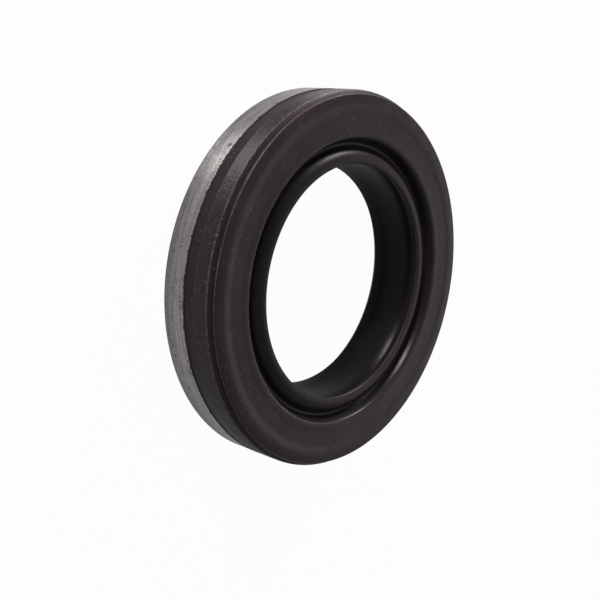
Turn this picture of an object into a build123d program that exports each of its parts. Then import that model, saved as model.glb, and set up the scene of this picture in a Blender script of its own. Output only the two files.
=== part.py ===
# Radial shaft seal: half rubber-covered steel case, spring-loaded main lip and a dust lip.
# It lies on its oil side: z = 0 is the open back rim, +Z points to the closed air side.
import os

from build123d import *

os.makedirs("parts", exist_ok=True)

# Fitting sizes (mm)
shaft_d = 25.0
housing_d = 40.0
width = 7.0

# Pressed steel case, bare at the back and covered at the front
sheet = 0.9
bare_width = 3.05
bare_drop = 0.03  # how far the bare steel stands below the ground rubber
rim_chamfer = 0.25
step_rise = 0.5
bend_in = 0.4
flange_share = 0.36  # flange end, from the membrane (0) to the case wall (1)

# Rubber outside the case
cover = 0.8
front_cover = 1.2
matte_width = 1.28
matte_drop = 0.06
groove_width = 0.5
groove_depth = 0.55
groove_flank = 0.12
rim_drop = 0.36
rim_rise = 0.32
knee_in = 0.16
knee_rise = 0.2
crest_inset = 1.75

# Air-side face, recess and dust lip
end_cover = 0.52
face_dish = 0.04
face_edge = 0.35
recess_wall = 1.1  # from the face down to the recess's round bottom
recess_taper = 0.3  # how far the outer wall leans in over that height
recess_bottom = 0.25
dust_interference = 0.12
dust_drop = 0.34
dust_land = 0.84
dust_round = 0.16
dust_back = 0.93  # width of the lip's sloping back, from the crease out
dust_height = 1.05

# Main lip with its head and membrane
lip_interference = 0.3
lip_height = 0.8
lip_land = 0.15
lip_oil = 0.5
lip_air_rise = 1.8
lip_air_run = 0.55
relief = 0.35  # how far the bore is relieved under the dust lip
relief_start = 3.4  # height above the main lip's edge
head_thick = 1.35
head_corner = 0.2
neck_rise = 0.4
membrane = 1.3
heel_r = 0.8
skin = 0.5
skin_share = 0.45  # end of the oil-side skin, from the flange end (0) to its bend (1)

# Garter spring
spring_d = 1.4
spring_offset = 0.5  # spring centre above the lip's edge
spring_bite = 0.4  # how far the head holds the spring past its centre line

# Case radii and levels
shaft_r = shaft_d / 2
seat_r = housing_d / 2
bare_r = seat_r - bare_drop
wall_r = seat_r - cover
bend_out = bend_in + sheet
bend_r = wall_r - bend_out
flange_top = width - front_cover
flange_under = flange_top - sheet
step_in = sheet / 4

# Main lip
tip_r = shaft_r - lip_interference
bore_r = tip_r + lip_air_run
membrane_r = bore_r + membrane
nose_z = lip_height - lip_land - lip_oil
spring_r = spring_d / 2
spring_c_r = tip_r + head_thick + spring_r
spring_c_z = lip_height + spring_offset
head_r = spring_c_r + spring_bite * spring_r
mouth = spring_r * (1 - spring_bite**2) ** 0.5
under = flange_under - skin

# The flange ends between the membrane and the case wall, the skin on the flange's flat
flange_end_r = membrane_r + flange_share * (wall_r - sheet - membrane_r)
skin_end_r = flange_end_r + skin_share * (bend_r - flange_end_r)
heel = min(heel_r, (skin_end_r - membrane_r) / 2)

# Front of the rubber
matte_top = bare_width + matte_width
groove_front = width - rim_rise
groove_back = groove_front - groove_width
rim_r = seat_r - rim_drop
knee_r = rim_r - knee_in
knee_z = groove_front + knee_rise
crest_r = seat_r - crest_inset
face_in_r = flange_end_r - end_cover
face_in_z = width - face_dish
dust_r = shaft_r - dust_interference
dust_top = width - dust_drop
crease_r = dust_r + dust_land
recess_z = face_in_z - recess_wall
recess_out_r = face_in_r - recess_taper
recess_in_r = crease_r + dust_back
recess_mid_r = (recess_out_r + recess_in_r) / 2
relief_r = bore_r + relief

# Steel case: bare seat at the back, stepped in under the rubber, flange turned inwards
with BuildPart() as steel_case:
    with BuildSketch(Plane.XZ):
        with BuildLine():
            Polyline(
                (bend_r, flange_top),
                (flange_end_r, flange_top),
                (flange_end_r, flange_under),
                (bend_r, flange_under),
            )
            TangentArc(
                (bend_r, flange_under),
                (wall_r - sheet, flange_under - bend_in),
                tangent=(1, 0),
            )
            Polyline(
                (wall_r - sheet, flange_under - bend_in),
                (wall_r - sheet, bare_width + step_rise - step_in),
                (bare_r - sheet, bare_width - step_in),
                (bare_r - sheet, rim_chamfer),
                (bare_r - sheet + rim_chamfer, 0),
                (bare_r - rim_chamfer, 0),
                (bare_r, rim_chamfer),
                (bare_r, bare_width),
                (wall_r, bare_width + step_rise),
                (wall_r, flange_top - bend_out),
            )
            TangentArc(
                (wall_r, flange_top - bend_out),
                (bend_r, flange_top),
                tangent=(0, 1),
            )
        make_face()
    revolve(axis=Axis.Z)
steel_case.part.label = "steel_case"

# Rubber body: sleeve, shoulder and face over the case, recess, dust lip, main lip and heel
with BuildPart() as rubber_body:
    with BuildSketch(Plane.XZ):
        with BuildLine():
            # sleeve with its matte band, ground band and groove
            Polyline(
                (bare_r, bare_width),
                (seat_r - matte_drop, bare_width + matte_drop),
                (seat_r - matte_drop, matte_top),
                (seat_r, matte_top + matte_drop),
                (seat_r, groove_back - groove_flank),
                (seat_r - groove_flank, groove_back),
                (seat_r - groove_depth, groove_back + groove_width / 3),
                (seat_r - groove_depth, groove_front - groove_width / 3),
                (rim_r, groove_front),
            )
            # shoulder, low crest and dished face
            crown = TangentArc((crest_r, width), (knee_r, knee_z), tangent=(1, 0))
            TangentArc(crown @ 1, (rim_r, groove_front), tangent=crown % 1)
            Line((crest_r, width), (face_in_r + face_edge, face_in_z))
            TangentArc(
                (face_in_r, face_in_z - face_edge),
                (face_in_r + face_edge, face_in_z),
                tangent=(0, 1),
            )
            # recess round the dust lip, up to the crease on the lip's back
            Line((face_in_r, face_in_z - face_edge), (recess_out_r, recess_z))
            ThreePointArc(
                (recess_out_r, recess_z),
                (recess_mid_r, recess_z - recess_bottom),
                (recess_in_r, recess_z),
            )
            TangentArc(
                (crease_r, dust_top),
                (recess_in_r, recess_z),
                tangent=(1, -0.36),
            )
            # dust lip, relieved bore and main lip
            Polyline(
                (crease_r, dust_top),
                (dust_r + dust_round, dust_top),
                (dust_r, dust_top - dust_round),
                (relief_r, dust_top - dust_height),
            )
            TangentArc(
                (bore_r, lip_height + relief_start),
                (relief_r, dust_top - dust_height),
                tangent=(0, 1),
            )
            Polyline(
                (bore_r, lip_height + relief_start),
                (bore_r, lip_height + lip_air_rise),
                (tip_r, lip_height),
                (tip_r, lip_height - lip_land),
                (tip_r + lip_oil, nose_z),
                (head_r - head_corner, nose_z),
                (head_r, nose_z + head_corner),
                (head_r, spring_c_z - mouth),
            )
            # spring groove
            ThreePointArc(
                (head_r, spring_c_z - mouth),
                (spring_c_r - spring_r, spring_c_z),
                (head_r, spring_c_z + mouth),
            )
            # membrane, heel and the skin on the oil side of the flange
            Polyline(
                (head_r, spring_c_z + mouth),
                (membrane_r, spring_c_z + mouth + neck_rise),
                (membrane_r, under - heel),
            )
            TangentArc(
                (membrane_r, under - heel),
                (membrane_r + heel, under),
                tangent=(0, 1),
            )
            Polyline(
                (membrane_r + heel, under),
                (skin_end_r, under),
                (skin_end_r, flange_under),
                (flange_end_r, flange_under),
                (flange_end_r, flange_top),
                (bend_r, flange_top),
            )
            TangentArc(
                (wall_r, flange_top - bend_out),
                (bend_r, flange_top),
                tangent=(0, 1),
            )
            Polyline(
                (wall_r, flange_top - bend_out),
                (wall_r, bare_width + step_rise),
                (bare_r, bare_width),
            )
        make_face()
    revolve(axis=Axis.Z)
rubber_body.part.label = "rubber_body"

# Garter spring, drawn as the plain ring its coils fill
with BuildPart() as garter_spring:
    with BuildSketch(Plane.XZ):
        with Locations((spring_c_r, spring_c_z)):
            Circle(spring_r)
    revolve(axis=Axis.Z)
garter_spring.part.label = "garter_spring"

export_step(steel_case.part, "parts/steel_case.step")
export_step(rubber_body.part, "parts/rubber_body.step")
export_step(garter_spring.part, "parts/garter_spring.step")
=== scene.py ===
import math

import bmesh
import bpy
import numpy as np
from bpy.props import FloatProperty, FloatVectorProperty, IntProperty, PointerProperty
from mathutils import Matrix, Vector


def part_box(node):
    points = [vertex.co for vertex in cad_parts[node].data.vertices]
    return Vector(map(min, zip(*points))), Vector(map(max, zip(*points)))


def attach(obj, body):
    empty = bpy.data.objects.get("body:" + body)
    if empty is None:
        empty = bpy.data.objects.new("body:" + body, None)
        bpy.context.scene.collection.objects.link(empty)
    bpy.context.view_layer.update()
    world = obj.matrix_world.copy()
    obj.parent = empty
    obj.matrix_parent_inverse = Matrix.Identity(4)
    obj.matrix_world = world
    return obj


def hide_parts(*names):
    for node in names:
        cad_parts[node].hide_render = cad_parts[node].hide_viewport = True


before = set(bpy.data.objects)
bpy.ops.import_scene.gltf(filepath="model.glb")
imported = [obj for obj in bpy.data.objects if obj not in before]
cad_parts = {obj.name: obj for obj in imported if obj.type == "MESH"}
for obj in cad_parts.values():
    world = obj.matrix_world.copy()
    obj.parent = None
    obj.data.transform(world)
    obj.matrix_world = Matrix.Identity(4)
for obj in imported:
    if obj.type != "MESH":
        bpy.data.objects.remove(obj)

bl_info = {
    "name": "Shaft Seal Dresser",
    "version": (1, 0, 0),
    "blender": (4, 5, 0),
    "location": "3D View > Sidebar > Seal",
    "description": "Dresses the shaft seal: rubber, turned steel, coiled spring and a studio",
    "category": "Object",
}

MM = 0.001
BODY = "root"
CASE, RUBBER, SPRING = "steel_case", "rubber_body", "garter_spring"
case_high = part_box(CASE)[1]
rubber_low, rubber_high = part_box(RUBBER)
spring_low, spring_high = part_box(SPRING)

# Places on the seal, in millimetres: radii from its axis, levels from its oil side
SEAT = rubber_high.x / MM  # ground rubber outside
BARE = case_high.x / MM  # bare steel outside
FRONT = rubber_high.z / MM  # crest of the shoulder
BARE_TOP = FRONT - 3.95
GROUND_FOOT, GROUND_TOP = FRONT - 2.61, FRONT - 0.94
RIM, RIM_LEVEL = SEAT - 0.36, FRONT - 0.32  # front edge of the groove
CREST = SEAT - 1.80
FACE_EDGE = SEAT - 4.82  # where the face turns down into the recess
DUST_LIP = SEAT - 7.62
DIP = (SEAT - 4.55, SEAT - 3.70, SEAT - 2.40, SEAT - 1.76)  # the dip's start, bed and end
EASED_LEVELS = (FRONT - 1.80, FRONT - 1.40)  # eased from the first, fully from the second
EASED_RADII = (SEAT - 4.20, SEAT - 3.80)  # fully eased inside the first, not past the second

# Marks seen on the seal, in millimetres
SCRATCHES = (  # start, end and width
    ((-13.20, 11.72), (-12.17, 10.80), 0.040),
    ((-14.53, 10.00), (-13.87, 9.41), 0.035),
    ((-9.60, 14.10), (-9.10, 13.75), 0.030),
)
STAIN, STAIN_REACH = (-15.71, 12.32, 2.42), 0.45
DOT, DOT_REACH = (-16.82, 10.76, 0.33), 0.12

# Colours of the smaller marks; the ridge and edge colours are painted highlights, the steel rim
# colour is painted shade
RUBBER_HAZE = (0.047, 0.034, 0.031)
RUBBER_GRAIN = (0.015, 0.010, 0.0115)
# painted highlight of the shoulder ridge
RUBBER_RIDGE_HIGHLIGHT = (0.064, 0.045, 0.049)
# painted highlight of the edge lines on the rubber
RUBBER_EDGE_HIGHLIGHT = (0.115, 0.097, 0.098)
RUBBER_DUST = (0.42, 0.40, 0.40)
RUBBER_SCRATCH = (0.14, 0.13, 0.13)
LIP_DUST = (0.12, 0.115, 0.11)
GROUND_GRAIN = (0.07, 0.066, 0.064)
# painted highlight of the ground band's edge lines
GROUND_EDGE_HIGHLIGHT = (0.105, 0.090, 0.090)
GROUND_DUST = (0.36, 0.34, 0.34)
FLASH_DARK, FLASH_PALE = (0.004, 0.003, 0.003), (0.014, 0.010, 0.010)
STEEL_BACK_DARK, STEEL_BACK = (0.17, 0.15, 0.175), (0.38, 0.345, 0.38)
STEEL_BLOT = (0.17, 0.155, 0.14)
STEEL_TICK = (0.05, 0.045, 0.045)
STEEL_STAIN = (0.06, 0.055, 0.05)
# painted shade of the back rim's chamfer
STEEL_RIM_SHADE = (0.030, 0.025, 0.034)
WIRE_DARK, WIRE_PALE = (0.30, 0.29, 0.28), (0.52, 0.51, 0.50)


# ---------------------------------------------------------------- sizes and colours


class SealRubberSettings(bpy.types.PropertyGroup):
    steps: IntProperty(name="Steps", description="Steps round the axis", default=336)
    corner: FloatProperty(
        name="Corner", description="Radius of the moulded corners", default=0.05 * MM,
        unit="LENGTH", precision=5,
    )
    ease: FloatProperty(
        name="Ease", description="How softly the dust lip and the recess are rounded",
        default=0.21 * MM, unit="LENGTH", precision=5,
    )
    dip: FloatProperty(
        name="Dip", description="How far the face dips inside its shoulder",
        default=0.07 * MM, unit="LENGTH", precision=5,
    )
    colour: FloatVectorProperty(
        name="Colour", description="Moulded rubber", subtype="COLOR",
        default=(0.0300, 0.0190, 0.0215),
    )
    shade_colour: FloatVectorProperty(
        name="Shade", description="Clouded patches of the moulded rubber", subtype="COLOR",
        default=(0.0220, 0.0155, 0.0165),
    )
    side_colour: FloatVectorProperty(
        name="Side colour", description="Moulded rubber next to the bare steel",
        subtype="COLOR", default=(0.0120, 0.0070, 0.0085),
    )
    lip_colour: FloatVectorProperty(
        name="Lip colour", description="Cleaner rubber of the recess and the lips",
        subtype="COLOR", default=(0.0105, 0.0090, 0.0092),
    )
    # painted shade: this much darker colour of the bore between the lips stands in for the shade
    # there
    bore_shade_colour: FloatVectorProperty(
        name="Bore colour", description="Oily rubber between the lips", subtype="COLOR",
        default=(0.0032, 0.0031, 0.0032),
    )
    ground_colour: FloatVectorProperty(
        name="Ground colour", description="Rubber where it is ground", subtype="COLOR",
        default=(0.0065, 0.0058, 0.0058),
    )


class SealFlashSettings(bpy.types.PropertyGroup):
    steps: IntProperty(name="Steps", description="Steps round the seat", default=2400)
    reach: FloatProperty(
        name="Reach", description="How far the feather creeps over the steel",
        default=0.34 * MM, unit="LENGTH", precision=5,
    )
    thickness: FloatProperty(
        name="Thickness", description="Thickness of the feather", default=0.025 * MM,
        unit="LENGTH", precision=5,
    )
    seed: IntProperty(name="Seed", description="Seed of the ragged edge", default=7)


class SealSteelSettings(bpy.types.PropertyGroup):
    steps: IntProperty(name="Steps", description="Steps round the axis", default=384)
    corner: FloatProperty(
        name="Corner", description="Radius of the case's corners", default=0.04 * MM,
        unit="LENGTH", precision=5,
    )
    colour: FloatVectorProperty(
        name="Colour", description="Turned steel", subtype="COLOR", default=(0.43, 0.41, 0.395)
    )
    dark_colour: FloatVectorProperty(
        name="Dark streaks", description="Deeper turning marks", subtype="COLOR",
        default=(0.26, 0.245, 0.24),
    )
    bright_colour: FloatVectorProperty(
        name="Bright streaks", description="Polished turning marks", subtype="COLOR",
        default=(0.66, 0.635, 0.62),
    )


class SealSpringSettings(bpy.types.PropertyGroup):
    wire: FloatProperty(
        name="Wire", description="Wire diameter", default=0.25 * MM, unit="LENGTH", precision=5
    )
    sides: IntProperty(name="Sides", description="Sides of the wire", default=6)
    points: IntProperty(name="Points", description="Points in each coil", default=14)


class SealStageSettings(bpy.types.PropertyGroup):
    floor: FloatProperty(
        name="Floor", description="Width of the floor", default=1.6, unit="LENGTH"
    )
    white: FloatProperty(
        name="White", description="Share of the floor that shows plain white", default=0.97,
        min=0.0, max=1.0, subtype="FACTOR",
    )
    mirrored: FloatProperty(
        name="Mirrored", description="Share of the white that reflections show", default=0.32,
        min=0.0, max=1.0, subtype="FACTOR",
    )
    sky: FloatProperty(
        name="Sky", description="Strength of the light from all round", default=0.26, min=0.0
    )


# ---------------------------------------------------------------- shader expressions


class Wire:
    """A shader socket that Python's operators work on, each adding its Math node."""

    def __init__(self, shader, socket):
        self.shader, self.socket = shader, socket

    def maths(self, operation, *others):
        return self.shader.node("ShaderNodeMath", {"operation": operation}, 0, self, *others)

    def __add__(self, other):
        return self.maths("ADD", other)

    def __sub__(self, other):
        return self.maths("SUBTRACT", other)

    def __mul__(self, other):
        return self.maths("MULTIPLY", other)

    def __pow__(self, other):
        return self.maths("POWER", other)

    def __rsub__(self, other):
        return self.shader.node("ShaderNodeMath", {"operation": "SUBTRACT"}, 0, other, self)

    __radd__ = __add__
    __rmul__ = __mul__

    def largest(self, other):
        return self.maths("MAXIMUM", other)

    def ramp(self, start, end):
        """0 at start, 1 at end and smooth between; start may be the larger."""
        low, high, first, last = (start, end, 0.0, 1.0) if start < end else (end, start, 1.0, 0.0)
        settings = {"interpolation_type": "SMOOTHSTEP"}
        return self.shader.node(
            "ShaderNodeMapRange", settings, 0, self, low, high, first, last
        )

    def band(self, start, end, edge):
        """1 between start and end, falling to 0 over edge outside them."""
        return self.ramp(start - edge, start) * self.ramp(end + edge, end)


class Shader:
    """The nodes of one material or of the world, built one by one."""

    def __init__(self, owner, output="ShaderNodeOutputMaterial"):
        owner.use_nodes = True
        self.owner, self.tree = owner, owner.node_tree
        self.tree.nodes.clear()
        self.out = self.tree.nodes.new(output)

    def node(self, kind, settings=None, output=0, *values, **named):
        made = self.tree.nodes.new(kind)
        for key, value in (settings or {}).items():
            setattr(made, key, value)
        for key, value in [*enumerate(values), *named.items()]:
            if value is None:
                continue
            self.put(value, made.inputs[key if isinstance(key, int) else key.replace("_", " ")])
        return Wire(self, made.outputs[output])

    def put(self, value, socket):
        if isinstance(value, Wire):
            self.tree.links.new(value.socket, socket)
        elif socket.type == "RGBA":
            socket.default_value = (*value[:3], 1.0)
        else:
            socket.default_value = value

    def place(self):
        """Object coordinates in millimetres, as (x, y, z) wires."""
        coords = self.node("ShaderNodeTexCoord", None, "Object")
        split = self.tree.nodes.new("ShaderNodeSeparateXYZ")
        self.tree.links.new(coords.socket, split.inputs[0])
        return [Wire(self, socket) * (1 / MM) for socket in split.outputs]

    def turned_place(self):
        """(radius, x, y, z) in millimetres."""
        x, y, z = self.place()
        return (x * x + y * y) ** 0.5, x, y, z

    def vector(self, x, y, z):
        return self.node("ShaderNodeCombineXYZ", None, 0, x, y, z)

    def noise(self, vector, scale, detail=2.0, roughness=0.5):
        return self.node(
            "ShaderNodeTexNoise", {"noise_dimensions": "3D"}, "Fac",
            Vector=vector, Scale=scale, Detail=detail, Roughness=roughness,
        )

    def cells(self, vector, scale):
        """Distance from the nearest of some scattered points."""
        return self.node("ShaderNodeTexVoronoi", None, "Distance", Vector=vector, Scale=scale)

    def mix(self, factor, first, second):
        made = self.tree.nodes.new("ShaderNodeMix")
        made.data_type = "RGBA"
        self.put(factor, made.inputs[0])
        self.put(first, made.inputs[6])
        self.put(second, made.inputs[7])
        return Wire(self, made.outputs[2])

    def bump(self, height, distance, strength=1.0, normal=None):
        return self.node(
            "ShaderNodeBump", None, "Normal",
            Strength=strength, Distance=distance, Height=height, Normal=normal,
        )

    def show(self, surface):
        self.tree.links.new(surface.socket, self.out.inputs["Surface"])
        return self.owner

    def finish(self, **sockets):
        return self.show(self.node("ShaderNodeBsdfPrincipled", None, 0, **sockets))


def new_shader(name):
    return Shader(bpy.data.materials.new(name))


# ---------------------------------------------------------------- helpers for meshes


def section_of(node_name):
    """The closed outline of a turned CAD node in the half plane y = 0, as (radius, height)."""
    copy = bmesh.new()
    copy.from_mesh(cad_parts[node_name].data)
    bmesh.ops.remove_doubles(copy, verts=copy.verts, dist=1e-6)
    on_seam = {v for v in copy.verts if abs(v.co.y) < 1e-7 and v.co.x > 0}
    start = min(on_seam, key=lambda v: (v.co.z, v.co.x))
    loop, before, here = [start], None, start
    while True:
        linked = [e.other_vert(here) for e in here.link_edges]
        following = [v for v in linked if v in on_seam and v is not before][0]
        if following is start:
            break
        before, here = here, following
        loop.append(here)
    outline = [(v.co.x, v.co.z) for v in loop]
    copy.free()
    return outline


def ring_faces(steps, count):
    """Faces of a closed outline of count points, repeated in steps round the axis."""
    return [
        (i * count + j, ((i + 1) % steps) * count + j,
         ((i + 1) % steps) * count + (j + 1) % count, i * count + (j + 1) % count)
        for i in range(steps)
        for j in range(count)
    ]


def turn(name, outline, steps, materials, choose=None):
    """A mesh turned about Z from a closed outline of (radius, height)."""
    angles = np.linspace(0.0, 2.0 * math.pi, steps, endpoint=False)
    ring = np.array(outline)
    count = len(outline)
    points = np.empty((steps, count, 3))
    points[:, :, 0] = np.cos(angles)[:, None] * ring[None, :, 0]
    points[:, :, 1] = np.sin(angles)[:, None] * ring[None, :, 0]
    points[:, :, 2] = ring[None, :, 1]
    mesh = bpy.data.meshes.new(name)
    mesh.from_pydata(points.reshape(-1, 3).tolist(), [], ring_faces(steps, count))
    if choose:
        slots = [choose(*(ring[j] + ring[(j + 1) % count]) / 2) for j in range(count)]
        mesh.polygons.foreach_set("material_index", slots * steps)
    return settle(name, mesh, materials)


def settle(name, mesh, materials):
    """Turns the faces outwards, gives the materials and links the piece."""
    work = bmesh.new()
    work.from_mesh(mesh)
    bmesh.ops.recalc_face_normals(work, faces=work.faces)
    work.to_mesh(mesh)
    work.free()
    mesh.shade_smooth()
    for material in materials:
        mesh.materials.append(material)
    piece = bpy.data.objects.new(name, mesh)
    bpy.context.scene.collection.objects.link(piece)
    return piece


def soften(outline, radius, sharp=math.radians(24), parts=4):
    """The outline with each sharp corner rounded, no further than a third of its sides."""
    points = [Vector(p) for p in outline]
    made = []
    for i, here in enumerate(points):
        back, ahead = points[i - 1] - here, points[(i + 1) % len(points)] - here
        bend = math.pi - back.angle(ahead)
        if bend < sharp:
            made.append(tuple(here))
            continue
        reach = min(radius * math.tan(bend / 2), back.length / 3, ahead.length / 3)
        start, end = here + back.normalized() * reach, here + ahead.normalized() * reach
        for k in range(parts + 1):
            t = k / parts
            made.append(tuple(start * (1 - t) ** 2 + here * 2 * t * (1 - t) + end * t**2))
    return made


def dip_face(outline, depth, spacing=0.12 * MM):
    """The face between its inner edge and the shoulder, sunk a little below its straight line."""
    made = []
    for i, (radius, height) in enumerate(outline):
        last_radius, last_height = outline[i - 1]
        run, rise = radius - last_radius, height - last_height
        if height > rubber_high.z - 0.1 * MM and abs(run) > 0.5 * MM:
            parts = int(abs(run) / spacing)
            for k in range(1, parts):
                made.append((last_radius + run * k / parts, last_height + rise * k / parts))
        made.append((radius, height))
    low = rubber_high.z - 0.15 * MM
    return [
        (r, z - depth * float(np.interp(r / MM, DIP, (0, 1, 1, 0))) if z > low else z)
        for r, z in made
    ]


def ease(outline, width, spacing=0.12 * MM):
    """The dust lip and the recess with their corners flowing into each other."""
    ring = []
    for i, (radius, height) in enumerate(outline):
        last_radius, last_height = outline[i - 1]
        run, rise = radius - last_radius, height - last_height
        inside = height > EASED_LEVELS[0] * MM and radius < EASED_RADII[1] * MM
        parts = max(1, round(math.hypot(run, rise) / spacing)) if inside else 1
        for k in range(1, parts + 1):
            ring.append((last_radius + run * k / parts, last_height + rise * k / parts))
    points = np.array(ring)
    steps = np.linalg.norm(points - np.roll(points, 1, axis=0), axis=1)
    along = np.cumsum(steps)
    made = points.copy()
    for i, (radius, height) in enumerate(points):
        share = np.interp(height / MM, EASED_LEVELS, (0, 1))
        share *= np.interp(radius / MM, EASED_RADII, (1, 0))
        if share == 0:
            continue
        gap = np.abs(along - along[i])
        gap = np.minimum(gap, along[-1] - gap)
        weight = np.exp(-0.5 * (gap / width) ** 2) * (steps + np.roll(steps, -1))
        mean = (points * weight[:, None]).sum(axis=0) / weight.sum()
        made[i] += share * (mean - points[i])
    return [tuple(point) for point in made]


def finish_at(radius, height):
    """Which of the rubber's finishes a place has: 0 moulded, 1 ground, 2 lips and recess."""
    if radius < FACE_EDGE * MM:
        return 2
    in_front = height > (rubber_low.z + rubber_high.z) / 2
    return int(in_front and radius > rubber_high.x - 0.03 * MM)


def rubber_edge_height():
    """Height of the edge where the rubber meets the bare steel."""
    return min(z for r, z in section_of(RUBBER) if abs(r - case_high.x) < 0.002 * MM)


def ragged(steps, seed):
    """Uneven reach round the seat, 0 to 1: small teeth on slow waves, with a few long tears."""
    draw = np.random.default_rng(seed)
    teeth = smooth_round(draw.random(steps), 1)
    waves = smooth_round(draw.random(steps), 24)
    tears = smooth_round((draw.random(steps) > 0.98).astype(float), 3)
    mixed = 0.60 * unit(teeth) + 0.20 * unit(waves) + 0.7 * unit(tears)
    return np.clip(mixed, 0.02, 1.0)


def smooth_round(values, width):
    """A running mean over a closed ring."""
    kernel = np.ones(2 * width + 1) / (2 * width + 1)
    padded = np.concatenate([values[-width:], values, values[:width]])
    return np.convolve(padded, kernel, mode="valid")


def unit(values):
    return (values - values.min()) / (values.max() - values.min())


def coil_tree(material):
    """Geometry nodes: a wire wound round a ring, from the ring's angle and the coil's angle."""
    tree = bpy.data.node_groups.new("seal_wound_ring", "GeometryNodeTree")
    face = tree.interface
    for name, kind in (
        ("Ring Radius", "NodeSocketFloat"), ("Coil Radius", "NodeSocketFloat"),
        ("Wire Radius", "NodeSocketFloat"), ("Height", "NodeSocketFloat"),
        ("Coils", "NodeSocketInt"), ("Points", "NodeSocketInt"), ("Sides", "NodeSocketInt"),
    ):
        face.new_socket(name, in_out="INPUT", socket_type=kind)
    face.new_socket("Geometry", in_out="OUTPUT", socket_type="NodeSocketGeometry")
    add, link = tree.nodes.new, tree.links.new
    given, result = add("NodeGroupInput").outputs, add("NodeGroupOutput")

    def maths(operation, first, second=None):
        node = add("ShaderNodeMath")
        node.operation = operation
        for socket, value in zip(node.inputs, (first, second)):
            if value is None:
                continue
            if isinstance(value, (int, float)):
                socket.default_value = value
            else:
                link(value, socket)
        return node.outputs[0]

    ring = add("GeometryNodeCurvePrimitiveCircle")
    link(given["Points"], ring.inputs["Resolution"])
    index = add("GeometryNodeInputIndex").outputs[0]
    ring_angle = maths("MULTIPLY", maths("DIVIDE", index, given["Points"]), 2 * math.pi)
    coil_angle = maths("MULTIPLY", ring_angle, given["Coils"])
    spread = maths("MULTIPLY", maths("COSINE", coil_angle), given["Coil Radius"])
    out = maths("ADD", given["Ring Radius"], spread)
    rise = maths("MULTIPLY", maths("SINE", coil_angle), given["Coil Radius"])
    place = add("ShaderNodeCombineXYZ")
    link(maths("MULTIPLY", maths("COSINE", ring_angle), out), place.inputs[0])
    link(maths("MULTIPLY", maths("SINE", ring_angle), out), place.inputs[1])
    link(maths("ADD", rise, given["Height"]), place.inputs[2])
    move = add("GeometryNodeSetPosition")
    link(ring.outputs[0], move.inputs["Geometry"])
    link(place.outputs[0], move.inputs["Position"])
    wire = add("GeometryNodeCurvePrimitiveCircle")
    link(given["Sides"], wire.inputs["Resolution"])
    link(given["Wire Radius"], wire.inputs["Radius"])
    sweep = add("GeometryNodeCurveToMesh")
    link(move.outputs[0], sweep.inputs["Curve"])
    link(wire.outputs[0], sweep.inputs["Profile Curve"])
    real = add("GeometryNodeRealizeInstances")
    link(sweep.outputs[0], real.inputs[0])
    paint = add("GeometryNodeSetMaterial")
    paint.inputs["Material"].default_value = material
    link(real.outputs[0], paint.inputs["Geometry"])
    link(paint.outputs[0], result.inputs[0])
    return tree


# ---------------------------------------------------------------- finishes


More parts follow.
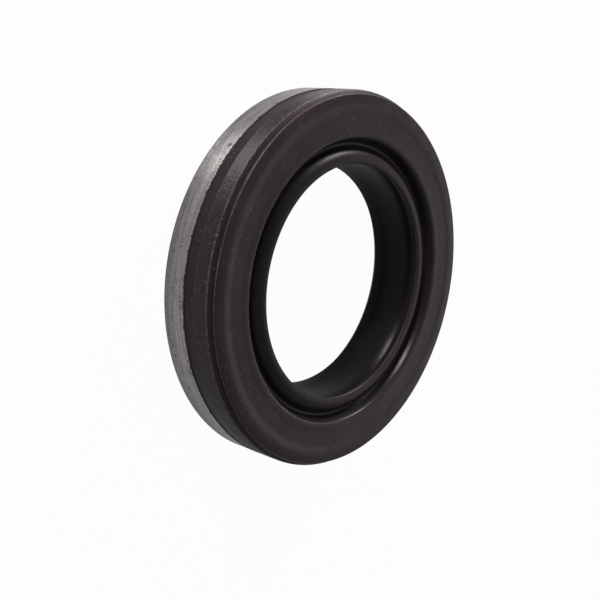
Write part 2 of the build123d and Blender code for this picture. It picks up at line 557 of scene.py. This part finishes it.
def rubber_finish(settings):
    """Brown-black moulded rubber with dust, a few scratches and a faintly uneven skin, with painted
    highlights on the shoulder ridge and along its edge lines.
    """
    s = new_shader("seal_rubber")
    radius, x, y, z = s.turned_place()
    spot = s.vector(x, y, z)
    grain = s.noise(spot, 5.5, 4.0, 0.65)
    cloud = s.noise(spot, 0.28, 2.0, 0.5)
    haze = s.noise(spot, 0.16, 3.0, 0.6).ramp(0.48, 0.70)
    swell = s.noise(spot, 0.55, 1.0, 0.5)
    pick = s.noise(spot, 1.3, 1.0, 0.5)
    speck = s.cells(spot, 2.1).ramp(0.095, 0.06) * pick.ramp(0.46, 0.50)
    pit = s.cells(s.vector(x + 7.3, y, z), 0.9).ramp(0.10, 0.07) * pick.ramp(0.48, 0.44)
    scratch = scratches(s, x, y, z)
    base = s.mix(cloud.ramp(0.3, 0.7), settings.colour, settings.shade_colour)
    base = s.mix(haze * 0.6, base, RUBBER_HAZE)
    base = s.mix(grain.ramp(0.38, 0.62) * 0.5, base, RUBBER_GRAIN)
    side = radius.ramp(SEAT - 0.25, SEAT - 0.10)
    base = s.mix(side * 0.75, base, settings.side_colour)
    # painted highlight: a lighter band on the shoulder's crest, on the left side only, stands in
    # for the side lamp's soft reflection there
    ridge_highlight = radius.band(CREST - 0.15, CREST + 0.15, 0.45) * z.ramp(FRONT - 0.3, FRONT - 0.1)
    ridge_highlight = ridge_highlight * (0.3 + cloud * 0.5) * x.ramp(SEAT * 0.3, SEAT * -0.4)
    base = s.mix(ridge_highlight, base, RUBBER_RIDGE_HIGHLIGHT)
    # painted highlights: light lines along the groove's front edge, along the face's inner edge on
    # the left side only, and along the ground band's top edge stand in for edges catching light
    front = radius.band(RIM - 0.07, RIM + 0.06, 0.05)
    front = front * z.band(RIM_LEVEL - 0.08, RIM_LEVEL + 0.08, 0.05)
    inner = radius.band(FACE_EDGE + 0.02, FACE_EDGE + 0.12, 0.05)
    inner = inner * z.ramp(FRONT - 0.30, FRONT - 0.24) * x.ramp(SEAT * 0.2, SEAT * -0.4)
    back = radius.band(SEAT - 0.2, SEAT + 0.1, 0.04)
    back = back * z.band(GROUND_TOP - 0.04, GROUND_TOP + 0.08, 0.04)
    fleck = s.noise(spot, 2.6, 3.0, 0.7).ramp(0.40, 0.62)
    line = front.largest(inner).largest(back) * (0.15 + fleck * 0.85)
    # the painted highlight lines are mixed in here
    base = s.mix(line * 0.85, base, RUBBER_EDGE_HIGHLIGHT)
    base = s.mix(speck, base, RUBBER_DUST)
    base = s.mix(scratch * 0.45, base, RUBBER_SCRATCH)
    rough = 0.42 + (grain - 0.5) * 0.14 + speck * 0.2
    height = grain * 0.5 - pit * 2.0 + speck * 1.2 - scratch
    skin = s.bump(swell, 0.05 * MM, 0.7)
    relief = s.bump(height, 0.03 * MM, 0.85, skin)
    return s.finish(
        Base_Color=base, Roughness=rough, Normal=relief, IOR=1.5, Specular_IOR_Level=0.30,
        Specular_Tint=(1.0, 0.80, 0.86),
    )


def scratches(s, x, y, z):
    """Fine straight scratches on the face."""
    total = None
    for (x0, y0), (x1, y1), width in SCRATCHES:
        length = math.hypot(x1 - x0, y1 - y0)
        ux, uy = (x1 - x0) / length, (y1 - y0) / length
        along = (x - x0) * ux + (y - y0) * uy
        across = (x - x0) * -uy + (y - y0) * ux
        wander = s.noise(s.vector(x, y, z), 2.5, 1.0) - 0.5
        line = (across + wander * 0.12).maths("ABSOLUTE").ramp(width, width * 0.4)
        line = line * along.band(0.0, length, 0.25) * z.ramp(FRONT - 0.5, FRONT - 0.3)
        total = line if total is None else total.largest(line)
    return total


def lip_finish(settings):
    """Darker, smoother rubber of the recess, the lips and the oil side, with painted shade in the
    bore and painted light on the crown.
    """
    s = new_shader("seal_lip_rubber")
    radius, x, y, z = s.turned_place()
    spot = s.vector(x, y, z)
    grain = s.noise(spot, 6.0, 3.0, 0.6)
    swell = s.noise(spot, 0.7, 2.0, 0.5)
    throat = radius.ramp(DUST_LIP + 1.02, DUST_LIP + 0.52) * z.ramp(FRONT - 0.5, FRONT - 1.5)
    crown = z.ramp(FRONT - 1.4, FRONT - 0.5) * radius.ramp(DUST_LIP + 2.12, DUST_LIP + 1.52)
    speck = s.cells(spot, 2.1).ramp(0.09, 0.06) * swell.ramp(0.48, 0.52) * (1.0 - throat)
    # painted shade: the bore below the dust lip takes the darker bore colour
    base = s.mix(throat, settings.lip_colour, settings.bore_shade_colour)
    # painted light: the crown takes the lighter face colour, fading in towards +x where the lamps
    # light it, and keeps the dark lip colour on the left
    base = s.mix(crown * x.ramp(SEAT * -0.6, SEAT * 0.2), base, settings.colour)
    base = s.mix(speck * 0.4, base, LIP_DUST)
    rough = 0.34 + (grain - 0.5) * 0.10 + crown * 0.06
    skin = s.bump(swell, 0.04 * MM, 0.6)
    relief = s.bump(grain, 0.008 * MM, 0.6, skin)
    return s.finish(
        Base_Color=base, Roughness=rough, Normal=relief, IOR=1.5, Specular_IOR_Level=0.22,
        Specular_Tint=(1.0, 0.90, 0.90),
    )


def ground_finish(settings):
    """Rubber ground on the outside: fine cuts along the turning, open pores, and painted highlight
    lines along its top and foot.
    """
    s = new_shader("seal_ground_rubber")
    x, y, z = s.place()
    spot = s.vector(x, y, z)
    cuts = s.noise(s.vector(x * 0.35, y * 0.35, z * 11.0), 1.0, 3.0, 0.6)
    grain = s.noise(spot, 7.0, 3.0, 0.65)
    patch = s.noise(s.vector(x * 0.6, y * 0.6, z * 1.6), 1.0, 2.0, 0.55)
    sand = s.noise(s.vector(x * 1.4, y * 1.4, z * 2.4), 5.0, 2.0, 0.7)
    hatch = s.noise(s.vector(x * 4.5, y * 4.5, z * 0.9), 1.0, 2.0, 0.6)
    fleck = s.noise(spot, 3.2, 2.0, 0.7).ramp(0.46, 0.60)
    speck = s.cells(spot, 2.1).ramp(0.10, 0.06)
    tone = s.mix(patch.ramp(0.35, 0.60), settings.ground_colour, settings.side_colour)
    tone = s.mix(grain.ramp(0.62, 0.78) * 0.5, tone, GROUND_GRAIN)
    # painted highlights: light lines at the band's top and foot stand in for their step edges
    # catching light
    edge = z.ramp(GROUND_TOP - 0.10, GROUND_TOP - 0.03) * (0.25 + fleck * 0.75)
    step = z.ramp(GROUND_FOOT + 0.13, GROUND_FOOT + 0.05) * fleck
    tone = s.mix(edge.largest(step * 0.6) * 0.9, tone, GROUND_EDGE_HIGHLIGHT)
    tone = s.mix(speck, tone, GROUND_DUST)
    rough = 0.47 + (patch - 0.5) * 0.16 + (grain - 0.5) * 0.12 + (hatch - 0.5) * 0.25
    relief = s.bump(grain * 0.5 + cuts + sand * 0.8 + hatch * 0.8, 0.035 * MM, 0.95)
    return s.finish(
        Base_Color=tone, Roughness=rough, Normal=relief, IOR=1.5, Specular_IOR_Level=0.7,
        Specular_Tint=(1.0, 0.92, 0.94), Anisotropic=0.95, Anisotropic_Rotation=0.25,
    )


def flash_finish():
    """The thin torn edge of the rubber."""
    s = new_shader("seal_flash_rubber")
    grain = s.noise(s.vector(*s.place()), 6.0, 3.0, 0.6)
    colour = s.mix(grain.ramp(0.35, 0.7), FLASH_DARK, FLASH_PALE)
    relief = s.bump(grain, 0.01 * MM)
    return s.finish(Base_Color=colour, Roughness=0.6 + grain * 0.1, Normal=relief)


def near(s, x, y, z, spot, reach):
    """1 at a spot in millimetres, 0 beyond its reach, with an uneven edge."""
    dx, dy, dz = x - spot[0], y - spot[1], z - spot[2]
    edge = s.noise(s.vector(x, y, z), 3.0, 3.0, 0.6) * reach
    return ((dx * dx + dy * dy + dz * dz) ** 0.5 + edge).ramp(reach * 1.4, reach * 0.9)


def steel_finish(settings):
    """Turned and ground steel, streaked along the turning, with rows of small dark ticks and a
    painted dark line of shade along the back rim.
    """
    s = new_shader("seal_turned_steel")
    radius, x, y, z = s.turned_place()
    fine = s.noise(s.vector(x * 0.22, y * 0.22, z * 17.0), 1.0, 4.0, 0.75)
    broad = s.noise(s.vector(x * 0.07, y * 0.07, z * 3.4), 1.0, 2.0, 0.5)
    tick = s.noise(s.vector(x * 4.2, y * 4.2, z * 1.8), 1.0, 3.0, 0.6)
    rows = s.noise(s.vector(x * 0.16, y * 0.16, z * 5.0), 1.0, 2.0, 0.6)
    blot = s.noise(s.vector(x, y, z * 1.4), 0.9, 4.0, 0.65)
    mark = tick.ramp(0.55, 0.64) * rows.ramp(0.46, 0.58)
    streak = fine.ramp(0.38, 0.60)
    tone = s.mix(streak, settings.dark_colour, settings.colour)
    tone = s.mix(broad.ramp(0.35, 0.65) * 0.45, tone, settings.bright_colour)
    back = z.ramp(BARE_TOP - 0.75, BARE_TOP - 2.55) * 0.75
    tone = s.mix(back, tone, s.mix(streak, STEEL_BACK_DARK, STEEL_BACK))
    tone = s.mix(blot.ramp(0.50, 0.72) * 0.45, tone, STEEL_BLOT)
    tone = s.mix(mark * 0.75, tone, STEEL_TICK)
    stain = near(s, x, y, z, STAIN, STAIN_REACH).largest(near(s, x, y, z, DOT, DOT_REACH))
    tone = s.mix(stain * 0.7, tone, STEEL_STAIN)
    # painted shade: the back rim's chamfer is darkened to a thin, nearly black line
    rim = z.ramp(0.40, 0.20) * radius.ramp(BARE - 0.77, BARE - 0.37)
    tone = s.mix(rim * 0.85, tone, STEEL_RIM_SHADE)
    rough = 0.33 + (fine - 0.5) * 0.25 + mark * 0.2 + rim * 0.1
    relief = s.bump(fine - mark * 0.6, 0.03 * MM, 0.8)
    return s.finish(
        Base_Color=tone, Metallic=1.0, Roughness=rough, Normal=relief,
        Anisotropic=0.75, Anisotropic_Rotation=0.25,
    )


def wire_finish():
    """Drawn spring wire."""
    s = new_shader("seal_spring_wire")
    grain = s.noise(s.vector(*s.place()), 3.0, 3.0, 0.55)
    colour = s.mix(grain.ramp(0.3, 0.7), WIRE_DARK, WIRE_PALE)
    return s.finish(Base_Color=colour, Metallic=1.0, Roughness=0.26 + grain * 0.15)


# ---------------------------------------------------------------- operators


class SEAL_OT_case(bpy.types.Operator):
    """Give the pressed case its turned steel"""

    bl_idname = "seal.case"
    bl_label = "Steel Case"

    def execute(self, context):
        settings = context.scene.seal_steel
        outline = soften(section_of(CASE), settings.corner)
        case = turn("pressed_case", outline, settings.steps, [steel_finish(settings)])
        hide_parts(CASE)
        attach(case, BODY)
        return {"FINISHED"}


class SEAL_OT_rubber(bpy.types.Operator):
    """Turn the rubber body with its small moulded corners"""

    bl_idname = "seal.rubber"
    bl_label = "Rubber Body"

    def execute(self, context):
        settings = context.scene.seal_rubber
        outline = soften(section_of(RUBBER), settings.corner)
        outline = ease(dip_face(outline, settings.dip), settings.ease)
        finishes = [rubber_finish(settings), ground_finish(settings), lip_finish(settings)]
        body = turn("rubber_moulding", outline, settings.steps, finishes, finish_at)
        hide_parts(RUBBER)
        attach(body, BODY)
        return {"FINISHED"}


class SEAL_OT_flash(bpy.types.Operator):
    """Lay the rubber's torn feather over the edge of the bare steel"""

    bl_idname = "seal.flash"
    bl_label = "Torn Rubber Edge"

    def execute(self, context):
        settings = context.scene.seal_flash
        lap = 0.03 * MM
        top = rubber_edge_height() + lap
        outer = min(case_high.x + settings.thickness, rubber_high.x)
        inner = case_high.x - 0.01 * MM
        reach = settings.reach * ragged(settings.steps, settings.seed)
        sides = [
            (inner, np.full_like(reach, top)),
            (outer, np.full_like(reach, top)),
            (outer, top - reach * 0.8 - lap),
            (inner, top - reach - 0.05 * MM),
        ]
        angles = np.linspace(0.0, 2.0 * math.pi, settings.steps, endpoint=False)
        points = [
            (radius * math.cos(angle), radius * math.sin(angle), float(heights[i]))
            for i, angle in enumerate(angles)
            for radius, heights in sides
        ]
        mesh = bpy.data.meshes.new("rubber_flash")
        mesh.from_pydata(points, [], ring_faces(settings.steps, len(sides)))
        flash = settle("rubber_flash", mesh, [flash_finish()])
        flash.data.shade_flat()
        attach(flash, BODY)
        return {"FINISHED"}


class SEAL_OT_spring(bpy.types.Operator):
    """Wind the garter spring, coil by coil, with geometry nodes"""

    bl_idname = "seal.spring"
    bl_label = "Garter Spring"

    def execute(self, context):
        settings = context.scene.seal_spring
        coil_radius = (spring_high.z - spring_low.z) / 2
        ring_radius = spring_high.x - coil_radius
        wire_path = coil_radius - settings.wire / 2
        coils = int(2 * math.pi * (ring_radius - wire_path) / (settings.wire * 1.02))
        values = {
            "Ring Radius": ring_radius, "Coil Radius": wire_path, "Wire Radius": settings.wire / 2,
            "Height": (spring_high.z + spring_low.z) / 2, "Coils": coils,
            "Points": settings.points * coils, "Sides": settings.sides,
        }
        holder = bpy.data.objects.new("garter_coil_nodes", bpy.data.meshes.new("garter_coil_nodes"))
        context.scene.collection.objects.link(holder)
        modifier = holder.modifiers.new("coil", "NODES")
        modifier.node_group = coil_tree(wire_finish())
        for item in modifier.node_group.interface.items_tree:
            if item.item_type == "SOCKET" and item.in_out == "INPUT" and item.name in values:
                modifier[item.identifier] = values[item.name]
        context.view_layer.update()
        wound = holder.evaluated_get(context.evaluated_depsgraph_get())
        mesh = bpy.data.meshes.new_from_object(wound)
        holder.modifiers.clear()
        bpy.data.objects.remove(holder)
        mesh.name = "garter_coils"
        coil = bpy.data.objects.new("garter_coils", mesh)
        context.scene.collection.objects.link(coil)
        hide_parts(SPRING)
        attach(coil, BODY)
        return {"FINISHED"}


# ---------------------------------------------------------------- studio


CAMERA_PLACE = Vector((-80.14, 9.05, 68.91)) * MM
CAMERA_RIGHT = Vector((0.6568, 0.1302, 0.7427))
CAMERA_UP = Vector((0.0, 0.9850, -0.1727))
CAMERA_LENS = 57.69

# name, direction from the seal, distance, diameter, power
LAMPS = (
    ("back_lamp", (0.50, 0.83, 0.28), 0.40, 0.07, 0.80),
    ("front_lamp", (-0.51, 0.83, 0.16), 0.40, 0.06, 1.25),
    ("side_lamp", (0.86, -0.06, 0.50), 0.50, 0.36, 0.16),
)


class SEAL_OT_stage(bpy.types.Operator):
    """Set the pale floor, the lamps and the camera"""

    bl_idname = "seal.stage"
    bl_label = "Studio"

    def execute(self, context):
        settings = context.scene.seal_stage
        self.floor(context, settings)
        self.world(context, settings)
        self.camera(context)
        self.lamps(context)
        context.scene.view_settings.view_transform = "Standard"
        return {"FINISHED"}

    def seen_white(self, s, settings):
        """1 for the rays that see the white background, and a share of it in reflections."""
        rays = s.tree.nodes.new("ShaderNodeLightPath").outputs
        seen = Wire(s, rays["Is Camera Ray"]).largest(Wire(s, rays["Is Transmission Ray"]))
        return seen.largest(Wire(s, rays["Is Glossy Ray"]) * settings.mirrored)

    def floor(self, context, settings):
        half = settings.floor / 2
        corners = [(-half, -half, 0), (half, -half, 0), (half, half, 0), (-half, half, 0)]
        mesh = bpy.data.meshes.new("floor")
        mesh.from_pydata(corners, [], [(0, 1, 2, 3)])
        floor = bpy.data.objects.new("floor", mesh)
        context.scene.collection.objects.link(floor)
        s = new_shader("studio_floor")
        matt = s.node("ShaderNodeBsdfDiffuse", None, 0, Color=(0.6, 0.6, 0.6))
        plain = s.node("ShaderNodeEmission", None, 0, Color=(1.0, 1.0, 1.0), Strength=1.0)
        share = self.seen_white(s, settings) * settings.white
        mesh.materials.append(s.show(s.node("ShaderNodeMixShader", None, 0, share, matt, plain)))

    def world(self, context, settings):
        s = Shader(bpy.data.worlds.new("studio"), "ShaderNodeOutputWorld")
        level = self.seen_white(s, settings).largest(settings.sky)
        sky = s.node("ShaderNodeBackground", None, 0, Color=(1.0, 1.0, 1.0), Strength=level)
        context.scene.world = s.show(sky)

    def camera(self, context):
        data = bpy.data.cameras.new("camera")
        data.lens, data.sensor_width = CAMERA_LENS, 36.0
        data.clip_start, data.clip_end = 1 * MM, 10.0
        camera = bpy.data.objects.new("camera", data)
        context.scene.collection.objects.link(camera)
        back = CAMERA_RIGHT.cross(CAMERA_UP)
        turned = Matrix((CAMERA_RIGHT, CAMERA_UP, back)).transposed().to_4x4()
        camera.matrix_world = Matrix.Translation(CAMERA_PLACE) @ turned
        context.scene.camera = camera

    def lamps(self, context):
        middle = Vector((0.0, 0.0, FRONT / 2)) * MM
        for name, direction, distance, size, power in LAMPS:
            data = bpy.data.lights.new(name, "AREA")
            data.shape, data.size, data.energy = "DISK", size, power
            lamp = bpy.data.objects.new(name, data)
            context.scene.collection.objects.link(lamp)
            way = Vector(direction).normalized()
            lamp.location = middle + way * distance
            lamp.rotation_mode = "QUATERNION"
            lamp.rotation_quaternion = (-way).to_track_quat("-Z", "Y")


# ---------------------------------------------------------------- panel and running


class SEAL_PT_panel(bpy.types.Panel):
    """The seal's pieces, one button each"""

    bl_label = "Shaft Seal"
    bl_idname = "SEAL_PT_panel"
    bl_space_type = "VIEW_3D"
    bl_region_type = "UI"
    bl_category = "Seal"

    def draw(self, context):
        column = self.layout.column(align=True)
        for operator in STEPS:
            column.operator(operator.bl_idname)


STEPS = (SEAL_OT_case, SEAL_OT_rubber, SEAL_OT_flash, SEAL_OT_spring, SEAL_OT_stage)
GROUPS = {
    "seal_rubber": SealRubberSettings,
    "seal_flash": SealFlashSettings,
    "seal_steel": SealSteelSettings,
    "seal_spring": SealSpringSettings,
    "seal_stage": SealStageSettings,
}


def register():
    for kind in (*GROUPS.values(), *STEPS, SEAL_PT_panel):
        bpy.utils.register_class(kind)
    for name, kind in GROUPS.items():
        setattr(bpy.types.Scene, name, PointerProperty(type=kind))


def unregister():
    for name in GROUPS:
        delattr(bpy.types.Scene, name)
    for kind in reversed((*GROUPS.values(), *STEPS, SEAL_PT_panel)):
        bpy.utils.unregister_class(kind)


def main():
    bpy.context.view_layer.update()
    register()
    bpy.ops.seal.case()
    bpy.ops.seal.rubber()
    bpy.ops.seal.flash()
    bpy.ops.seal.spring()
    bpy.ops.seal.stage()


if __name__ == "__main__":
    main()
